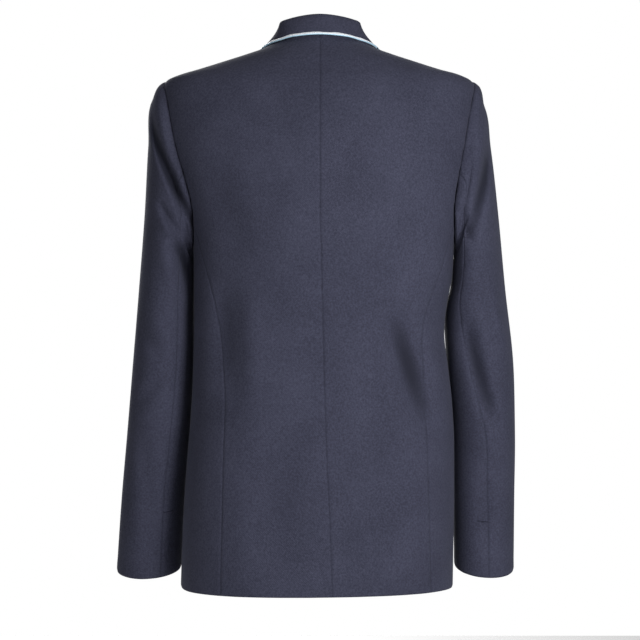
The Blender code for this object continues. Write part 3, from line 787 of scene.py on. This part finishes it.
SLEEVE_LENGTH = 0.590
SLEEVE_STEP = 0.0022
TOP_COUNT, UNDER_COUNT = 112, 66
SLEEVE_CREASES = {
    "left": {
        "back": (
            (0.208, -0.068, 0.195, -0.142, 0.143, -0.226, 0.0062, 0.015),
            (0.192, -0.188, 0.182, -0.206, 0.168, -0.232, 0.0055, 0.006),
            (0.19, -0.208, 0.178, -0.226, 0.168, -0.246, 0.006, -0.003),
            (0.176, -0.228, 0.16, -0.252, 0.156, -0.3, 0.0075, 0.013),
            (0.192, -0.235, 0.178, -0.262, 0.166, -0.32, 0.01, -0.0036),
            (0.222, -0.33, 0.205, -0.36, 0.186, -0.372, 0.011, 0.0042),
            (0.188, -0.395, 0.206, -0.42, 0.226, -0.436, 0.01, 0.004),
            (0.214, -0.46, 0.202, -0.53, 0.208, -0.61, 0.011, 0.0036),
        ),
        "front": (
            (0.205, -0.11, 0.185, -0.165, 0.162, -0.215, 0.009, 0.006),
            (0.215, -0.195, 0.19, -0.22, 0.165, -0.262, 0.009, 0.005),
            (0.226, -0.335, 0.196, -0.345, 0.164, -0.338, 0.009, 0.0055),
            (0.228, -0.385, 0.198, -0.378, 0.166, -0.388, 0.008, 0.005),
            (0.232, -0.45, 0.205, -0.425, 0.17, -0.425, 0.01, 0.004),
        ),
    },
    "right": {
        "back": (
            (0.206, -0.095, 0.2, -0.168, 0.174, -0.236, 0.0085, 0.012),
            (0.19, -0.11, 0.186, -0.16, 0.172, -0.21, 0.009, -0.003),
            (0.166, -0.196, 0.17, -0.218, 0.184, -0.246, 0.007, 0.004),
            (0.204, -0.28, 0.208, -0.325, 0.228, -0.37, 0.01, -0.0062),
            (0.176, -0.33, 0.186, -0.385, 0.21, -0.46, 0.01, 0.0105),
            (0.228, -0.345, 0.206, -0.36, 0.188, -0.366, 0.008, 0.0036),
            (0.156, -0.295, 0.153, -0.345, 0.156, -0.395, 0.01, -0.005),
            (0.23, -0.4, 0.212, -0.424, 0.2, -0.43, 0.01, 0.003),
            (0.206, -0.49, 0.196, -0.55, 0.2, -0.615, 0.012, 0.0036),
        ),
        "front": (
            (0.202, -0.115, 0.186, -0.17, 0.168, -0.22, 0.009, 0.006),
            (0.215, -0.2, 0.192, -0.228, 0.17, -0.268, 0.009, 0.005),
            (0.228, -0.34, 0.2, -0.345, 0.17, -0.335, 0.009, 0.0055),
            (0.23, -0.392, 0.2, -0.382, 0.17, -0.39, 0.008, 0.0048),
            (0.228, -0.455, 0.204, -0.428, 0.172, -0.43, 0.01, 0.004),
        ),
    },
}


def armhole_point(side, place):
    """A point of the armhole: places run from the shoulder tip down behind, under and up in front."""
    heights = np.array(ARMHOLE_ROWS)
    if place <= FOOT_PLACE:
        height = np.interp(place, range(FOOT_PLACE + 1), heights[::-1])
        angle = read(ARMHOLE, "back", height)
    elif place < FRONT_FOOT_PLACE:
        share = (place - FOOT_PLACE) / (FRONT_FOOT_PLACE - FOOT_PLACE)
        angle = mix(UNDERARM[-1].angle, UNDERARM[0].angle, share)
        height = read(UNDERARM, "height", angle, "angle")
    else:
        height = np.interp(place, range(FRONT_FOOT_PLACE, LAST_PLACE + 1), heights)
        angle = read(ARMHOLE, "front", height)
    return body_skin(height, own_angle(side, angle))


def ring_points(ring, turn, outward):
    """Points round a sleeve's ring: 0 outermost, a quarter turn at the back."""
    cosine, sine = np.cos(turn), np.sin(turn)
    middle_y = (ring.back + ring.front) / 2
    x = mix(ring.in_x, ring.out_x, (1 + cosine) / 2)
    z = mix(ring.in_z, ring.out_z, (1 + cosine) / 2) - ring.drop * sine
    return np.stack([outward * x, middle_y + (ring.back - middle_y) * sine, z], axis=-1)


def sleeve_start(loop, outward):
    """The way in which each line of the sleeve leaves the armhole."""
    spread = loop - loop.mean(axis=0)
    spread[:, 0] = 0
    spread = unit(spread)
    under = np.clip(-spread[:, 2:], 0, 1)
    away = np.array([outward, 0, -HEAD_FALL]) + spread * (HEAD_SPREAD + UNDERARM_SPREAD * under)
    return unit(away)


def between(along, rings, slopes, place):
    """Points of the smooth surface through the rings, at one place along them."""
    i = int(np.clip(np.searchsorted(along, place) - 1, 0, len(along) - 2))
    step = along[i + 1] - along[i]
    t = (place - along[i]) / step
    return cubic(rings[i], rings[i + 1], slopes[i], slopes[i + 1], step, t)


def sleeve_grid(side, outward):
    """A whole sleeve, a row for each place along it, and where its two seams lie in a row."""
    places = np.linspace(0, LAST_PLACE, LAST_PLACE * LOOP_BETWEEN + 1)
    loop = np.array([armhole_point(side, place) for place in places])
    run = run_of(loop)
    hind, fore = HIND_PLACE * LOOP_BETWEEN, FORE_PLACE * LOOP_BETWEEN
    under = run[fore] - run[hind]
    rings = [loop]
    for ring in SLEEVES[side]:
        top = mix(FORE_SEAM - 360, ring.hind, (run[-1] - run[fore]) / (run[-1] - under))
        turn = np.interp(run, [0, run[hind], run[fore], run[-1]],
                         [top, ring.hind, FORE_SEAM, top + 360])
        rings.append(ring_points(ring, np.radians(turn), outward))
    rings = np.array(rings)
    along = np.concatenate([[0.0], column(SLEEVES[side], "along")])
    start = sleeve_start(loop, outward) * np.linalg.norm(rings[1] - loop, axis=1)[:, None]
    slopes = np.gradient(rings, along, axis=0)
    slopes[0] = start / along[1] * HEAD_FULLNESS
    close = np.array(EDGE_STEPS)
    even = np.linspace(close[-1], SLEEVE_LENGTH - close[-1], int(SLEEVE_LENGTH / SLEEVE_STEP))
    rows = np.concatenate([close[:-1], even, (SLEEVE_LENGTH - close[:-1])[::-1]])
    return np.array([between(along, rings, slopes, place) for place in rows]), hind, fore


under_faces = {}
for side, outward in (("left", 1), ("right", -1)):
    sleeve, hind, fore = sleeve_grid(side, outward)
    top = np.concatenate([sleeve[:, fore:-1], sleeve[:, :hind + 1]], axis=1)
    top_sleeve = sewn_panel(
        f"top_sleeve_{side}", laid_rows(top, TOP_COUNT), (outward, 0, -0.3),
        SLEEVE_CREASES[side], joined=("first", "last", "bottom"), outward=outward,
    )
    under_faces[side] = sleeve[:, hind:fore + 1]
    under_sleeve = sewn_panel(
        f"under_sleeve_{side}", laid_rows(under_faces[side], UNDER_COUNT), WITHIN,
        SLEEVE_CREASES[side], joined=("first", "last", "bottom"), outward=outward,
    )

# The collar: one folded piece of suiting, which stands up from the neck seam, turns over a soft
# fold and falls to its outer edge. In front it runs down the gorge to the notch of each lapel.
Station = namedtuple(
    "Station",
    "seam_angle seam_height seam_lift fold_angle fold_height fold_lift"
    " edge_angle edge_height edge_lift",
)
COLLAR = (
    Station(90, 0.016, 0.0, 90, 0.0312, 0.003, 90, 0.0074, 0.0046),
    Station(62, 0.0125, 0.0, 62, 0.0296, 0.002, 62, 0.006, 0.0044),
    Station(38, 0.005, 0.0, 38, 0.0262, 0.0032, 38, 0.0046, 0.0024),
    Station(14, -0.0005, 0.0, 12, 0.02, -0.0012, 12, 0.0012, 0.002),
    Station(-12, -0.0015, 0.0, -14, 0.0145, -0.0066, -13, -0.0032, 0.003),
    Station(-28, -0.001, 0.001, -38, 0.0056, 0.001, -35, -0.0145, 0.0048),
    Station(-60, -0.016, 0.003, -58, -0.012, 0.0075, -54, -0.0325, 0.005),
    Station(-76, -0.049, 0.0035, -76, -0.0455, 0.0075, -66, -0.058, 0.005),
)
COLLAR_COLUMNS, COLLAR_ROWS = 190, 36
COLLAR_FOLD = 0.0028
COLLAR_OUT = 0.0018
COLLAR_TUCK = 0.0042
TUCK_STEPS, STAND_STEPS, FOLD_STEPS, FALL_STEPS = 3, 6, 10, 16
FALL_BELLY, FALL_HOLLOW = 0.0008, -0.0008
HOLLOW_STATION, HOLLOW_WIDTH = 3.0, 1.3


def collar_lines():
    """The collar's neck seam, fold and outer edge, from the wearer's right to the left."""
    last = len(COLLAR) - 1.0
    places = np.arange(-last, last + 1)
    at = np.linspace(-last, last, COLLAR_COLUMNS)
    lines = []
    for name in ("seam", "fold", "edge"):
        angle, height, lift = (
            column(COLLAR, f"{name}_{part}") for part in ("angle", "height", "lift")
        )
        angle = curve(places, np.concatenate([180 - angle[:0:-1], angle]), at)
        height, lift = (
            curve(places, np.concatenate([line[:0:-1], line]), at) for line in (height, lift)
        )
        if name == "seam":
            lines.append(body_out(height - COLLAR_TUCK, angle, lift - COLLAR_TUCK))
        lines.append(body_out(height, angle, lift))
    return lines


def collar_grid():
    """The collar's outer face, a row for each step from the neck seam to the outer edge."""
    tuck, seam, fold, edge = collar_lines()
    out = unit(edge - seam)
    inner = fold - out * COLLAR_FOLD - unit(fold - seam) * COLLAR_FOLD
    outer = fold + out * COLLAR_FOLD - unit(fold - edge) * COLLAR_FOLD
    bend = 2 * fold - (inner + outer) / 2
    rows = [mix(tuck, seam, share) for share in np.linspace(0, 1, TUCK_STEPS + 1)[:-1]]
    rows += [mix(seam, inner, share) for share in np.linspace(0, 1, STAND_STEPS + 1)[:-1]]
    rows += [bent(inner, bend, outer, share) for share in np.linspace(0, 1, FOLD_STEPS + 1)[:-1]]
    fall = np.linspace(0, 1, FALL_STEPS + 1)
    at = np.abs(np.linspace(1 - len(COLLAR), len(COLLAR) - 1, COLLAR_COLUMNS))
    hollow = np.exp(-((at - HOLLOW_STATION) / HOLLOW_WIDTH) ** 2)
    belly = out * mix(FALL_BELLY, FALL_HOLLOW, hollow)[:, None]
    rows += [mix(outer, edge, share) + belly * np.sin(np.pi * share) for share in fall]
    grid = np.array(rows)
    return grid + facings(grid, ABOVE) * COLLAR_OUT, edge, outer


folded_collar, collar_edge, collar_fall = collar_grid()
collar = sewn_panel(
    "collar", laid_columns(laid_rows(folded_collar, COLLAR_COLUMNS), COLLAR_ROWS), ABOVE,
    turned_in=FREE_EDGE,
)

# The piping: a bias strip of pale blue satin folded round a cord and caught in the collar's outer
# seam. Its top is painted white as a painted highlight, and its flange runs up into the seam.
PIPING_RADIUS = 0.0011
PIPING_OUT = 0.0018
PIPING_FLANGE = 0.0034
PIPING_SIDES = 18
PIPING_TAIL = math.radians(28)
PALE_BLUE = (0.440, 0.700, 0.880, 1)
PIPING_PAINTED_HIGHLIGHT = (0.930, 0.950, 1.000, 1)
SATIN_RIB = 0.0011
PIPING_PAINTED_GLOW = 0.16
BLUE_START, BLUE_RUN = 0.0, 0.8
COTTON_TINT, RIB_TINT = 0.25, 0.10
FLANGE_HALF = 0.0002


def piping_satin():
    satin, shader, wire = new_material("piping_satin")
    under = wire.node("ShaderNodeAttribute", {"attribute_name": "under"}, output=2)
    ribs = diagonal_ribs(wire, SATIN_RIB, Distortion=0.6)
    cotton = wire.node("ShaderNodeTexNoise", (), {"Scale": 1 / SATIN_RIB, "Detail": 1.0})
    tint = under + (cotton - 0.5) * COTTON_TINT + ribs * RIB_TINT
    # Painted highlight: the cord's top is coloured white, turning to pale blue below.
    colour = mixed(wire, PIPING_PAINTED_HIGHLIGHT, PALE_BLUE, tint.held())
    colour.feed(shader["Base Color"])
    # Painted light: the satin also glows faintly in its own colours, a painted sheen.
    colour.feed(shader["Emission Color"])
    relief = {"Strength": 0.3, "Distance": 0.0003, "Height": ribs}
    wire.node("ShaderNodeBump", (), relief).feed(shader["Normal"])
    shader["Emission Strength"].default_value = PIPING_PAINTED_GLOW
    shader["Roughness"].default_value = 0.45
    shader["Sheen Weight"].default_value = 0.3
    return satin


def piping_mesh():
    """The cord as a round section drawn along the collar's edge, open where its flange leaves."""
    away = unit(collar_edge - collar_fall)
    face = unit(np.cross(np.gradient(collar_edge, axis=0), away))
    face *= np.sign(face[:, 2:] + TINY)
    middle = collar_edge + away * PIPING_OUT + face * COLLAR_OUT / 2
    turns = np.linspace(math.pi + PIPING_TAIL, 3 * math.pi - PIPING_TAIL, PIPING_SIDES)
    section = np.array([
        (-PIPING_FLANGE, FLANGE_HALF),
        *((PIPING_RADIUS * math.cos(turn), -PIPING_RADIUS * math.sin(turn)) for turn in turns),
        (-PIPING_FLANGE, -FLANGE_HALF),
    ])
    rings = np.stack([middle + away * out + face * up for out, up in section], axis=1)
    count, sides = rings.shape[:2]
    faces = grid_faces(count, sides, closed=True)
    faces += [tuple(range(sides))[::-1], tuple(range((count - 1) * sides, count * sides))]
    round_cord = np.arange(sides) * PIPING_RADIUS * math.tau / sides
    laid = np.stack(np.broadcast_arrays(run_of(collar_edge)[:, None], round_cord), axis=-1)
    under = smooth((section[:, 0] / PIPING_RADIUS - BLUE_START) / BLUE_RUN)
    return laid_mesh("collar_piping_satin", rings, faces, laid, under=np.tile(under, count))


piping_strip = piping_mesh()
piping_strip.materials.append(piping_satin())
piping = bpy.data.objects.new("collar_piping_satin", piping_strip)
bpy.context.scene.collection.objects.link(piping)
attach(piping, "root")
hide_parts("collar_piping")

# The two front buttons: four-hole buttons of dark navy resin with a raised rim, each sewn on
# with a cross of navy thread, and each in a worked buttonhole of the right front.
BUTTON_RADIUS = 0.010
BUTTON_THICKNESS = 0.0035
BUTTON_HEIGHTS = {"button_upper": -0.335, "button_lower": -0.430}
BUTTON_RINGS, BUTTON_TURNS = 44, 120
RIM_WIDTH, RIM_RISE, DISH_DEPTH = 0.0022, 0.0007, 0.0006
EDGE_DROP, EDGE_SHARPNESS, RING_CROWDING, BACK_SHARE = 0.0012, 3, 0.85, 0.96
HOLE_RADIUS, HOLE_PLACE, HOLE_DEPTH, HOLE_EDGE = 0.00085, 0.0020, 0.0022, 0.0003
HOLES = [(sx * HOLE_PLACE, sz * HOLE_PLACE) for sx in (-1, 1) for sz in (-1, 1)]
RESIN_SWIRL = 1 / 260
RESIN_DARK, RESIN_PALE = (0.010, 0.012, 0.020, 1), (0.030, 0.034, 0.052, 1)
RESIN_ROUGH, RESIN_PATCHY = 0.28, 0.14
THREAD_RADIUS, THREAD_TURNS, THREAD_PITCH = 0.00042, 3, 0.9
THREAD_PLY = 1 / 2200
THREAD_DARK, THREAD_PALE = (0.008, 0.009, 0.018, 1), (0.020, 0.022, 0.038, 1)
BOW_POINTS, BOW_SINK, BOW_RISE = 9, 0.0006, 0.0011


def button_resin():
    resin, shader, wire = new_material("button_resin")
    swirl = noise(wire, RESIN_SWIRL, Detail=3.0, Distortion=1.2)
    mixed(wire, RESIN_DARK, RESIN_PALE, swirl).feed(shader["Base Color"])
    (RESIN_ROUGH + swirl * RESIN_PATCHY).feed(shader["Roughness"])
    return resin


def sewing_thread():
    thread, shader, wire = new_material("navy_thread")
    ply = noise(wire, THREAD_PLY, Detail=1.0)
    mixed(wire, THREAD_DARK, THREAD_PALE, ply).feed(shader["Base Color"])
    shader["Roughness"].default_value = 0.9
    shader["Specular IOR Level"].default_value = 0.1
    return thread


navy_thread = sewing_thread()
resin = button_resin()


def button_mesh(name):
    """A button's front as rings of points with rim, dish and holes, closed by its round back."""
    radii = BUTTON_RADIUS * np.linspace(0, 1, BUTTON_RINGS)[:, None] ** RING_CROWDING
    turns = np.arange(BUTTON_TURNS) / BUTTON_TURNS * math.tau
    x, z = radii * np.cos(turns), radii * np.sin(turns)
    edge = np.clip((BUTTON_RADIUS - radii) / RIM_WIDTH, 0, 1)
    drop = EDGE_DROP * (1 - np.sqrt(np.clip(edge * EDGE_SHARPNESS, 0, 1)))
    rim = RIM_RISE * np.sin(np.pi * edge) ** 2 - DISH_DEPTH * smooth(edge) - drop
    front = np.repeat(rim, BUTTON_TURNS, axis=1)
    for hole_x, hole_z in HOLES:
        away = np.hypot(x - hole_x, z - hole_z)
        front -= HOLE_DEPTH * smooth((HOLE_RADIUS - away) / HOLE_EDGE + 0.5)
    half = BUTTON_THICKNESS / 2
    back = (x[-1] * BACK_SHARE, np.full(BUTTON_TURNS, half), z[-1] * BACK_SHARE)
    points = np.concatenate([
        np.stack([x, RIM_RISE - half - front, z], axis=-1).reshape(-1, 3), np.stack(back, axis=-1),
    ])
    faces = grid_faces(BUTTON_RINGS + 1, BUTTON_TURNS, closed=True)
    faces.append(tuple(range(BUTTON_RINGS * BUTTON_TURNS, len(points)))[::-1])
    mesh = bpy.data.meshes.new(name)
    mesh.from_pydata(points.tolist(), [], faces)
    shape = bmesh.new()
    shape.from_mesh(mesh)
    bmesh.ops.remove_doubles(shape, verts=shape.verts, dist=1e-6)
    bmesh.ops.recalc_face_normals(shape, faces=shape.faces)
    shape.to_mesh(mesh)
    shape.free()
    mesh.shade_smooth()
    return mesh


def thread_piece(name, lines, radius):
    """Rounds of navy thread along lines of points, as one piece."""
    thread = bpy.data.curves.new(name, "CURVE")
    thread.dimensions = "3D"
    thread.bevel_depth = radius
    thread.bevel_resolution = 2
    thread.use_fill_caps = True
    for line in lines:
        spline = thread.splines.new("POLY")
        spline.points.add(len(line) - 1)
        for point, place in zip(spline.points, line):
            point.co = (*place, 1)
    thread.materials.append(navy_thread)
    piece = bpy.data.objects.new(name, thread)
    bpy.context.scene.collection.objects.link(piece)
    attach(piece, "root")
    return piece


SLIT_LENGTH, SLIT_START = 0.022, 0.003
STITCH_STEP, STITCH_LONG, STITCH_NEAR, STITCH_RADIUS = 0.00065, 0.0018, 0.1, 0.00032
STITCH_LIFT, STITCH_BELLY = 0.00035, 0.0002
STITCH_STEPS = 5
BAR_LIFT, BAR_APART = 0.0006, 0.0006


def stitch(x, heights, lift):
    """A stitch on the right front, at one width and through the heights, lifted off the cloth."""
    angle = front_angle("right", heights, np.full(STITCH_STEPS, x))
    return front_point("right", heights, angle, lift)


for name, height in BUTTON_HEIGHTS.items():
    low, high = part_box(name)
    middle = (low + high) / 2
    button = bpy.data.objects.new(f"{name}_resin", button_mesh(name))
    button.location = middle
    button.data.materials.append(resin)
    bpy.context.scene.collection.objects.link(button)
    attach(button, "root")
    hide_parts(name)

    face = middle.y - BUTTON_THICKNESS / 2 + DISH_DEPTH + BOW_SINK
    share = np.linspace(0, 1, BOW_POINTS)
    rise = BOW_RISE * np.sqrt(np.sin(np.pi * share))
    bows = []
    for start, end in ((HOLES[0], HOLES[3]), (HOLES[1], HOLES[2])):
        for turn in range(THREAD_TURNS):
            aside = (turn - (THREAD_TURNS - 1) / 2) * THREAD_RADIUS * THREAD_PITCH
            x = middle.x + mix(start[0], end[0], share) + aside
            z = middle.z + mix(start[1], end[1], share) + aside * np.sign(start[1])
            bows.append(np.stack([x, face - rise, z], axis=-1))
    thread_piece(f"{name}_thread", bows, THREAD_RADIUS)

    lift = STITCH_LIFT + STITCH_BELLY * np.sin(np.linspace(0, np.pi, STITCH_STEPS))
    lines = []
    for share in np.linspace(0, 1, int(2 * SLIT_LENGTH / STITCH_STEP)):
        x = SLIT_LENGTH * (1 - abs(2 * share - 1)) - SLIT_START
        reach = STITCH_LONG if share < 0.5 else -STITCH_LONG
        lines.append(stitch(x, height + reach * np.linspace(STITCH_NEAR, 1, STITCH_STEPS), lift))
    for end_x in (-SLIT_START, SLIT_LENGTH - SLIT_START):
        bar = height + STITCH_LONG * np.linspace(-1, 1, STITCH_STEPS)
        lines += [stitch(end_x + aside, bar, BAR_LIFT) for aside in (0.0, BAR_APART)]
    thread_piece(f"{name}hole_thread", lines, STITCH_RADIUS)

# The stitched tops of the two cuff vents, which open along the hindarm seams: a short row of
# navy thread from the seam on to the under sleeve.
VENT_TOPS = {"left": -0.562, "right": -0.574}
VENT_WIDTH, VENT_POINTS = 0.013, 14
VENT_OUT = 0.0002

for side, vent_top in VENT_TOPS.items():
    under_face = under_faces[side]
    row = int(np.abs(under_face[:, 0, 2] - vent_top).argmin())
    lifted = under_face[row] + facings(under_face, WITHIN)[row] * VENT_OUT
    place = np.linspace(0.0, VENT_WIDTH, VENT_POINTS)
    across = run_of(under_face[row])
    line = np.stack([np.interp(place, across, lifted[:, axis]) for axis in range(3)], axis=-1)
    thread_piece(f"cuff_vent_{side}_thread", [line], STITCH_RADIUS)
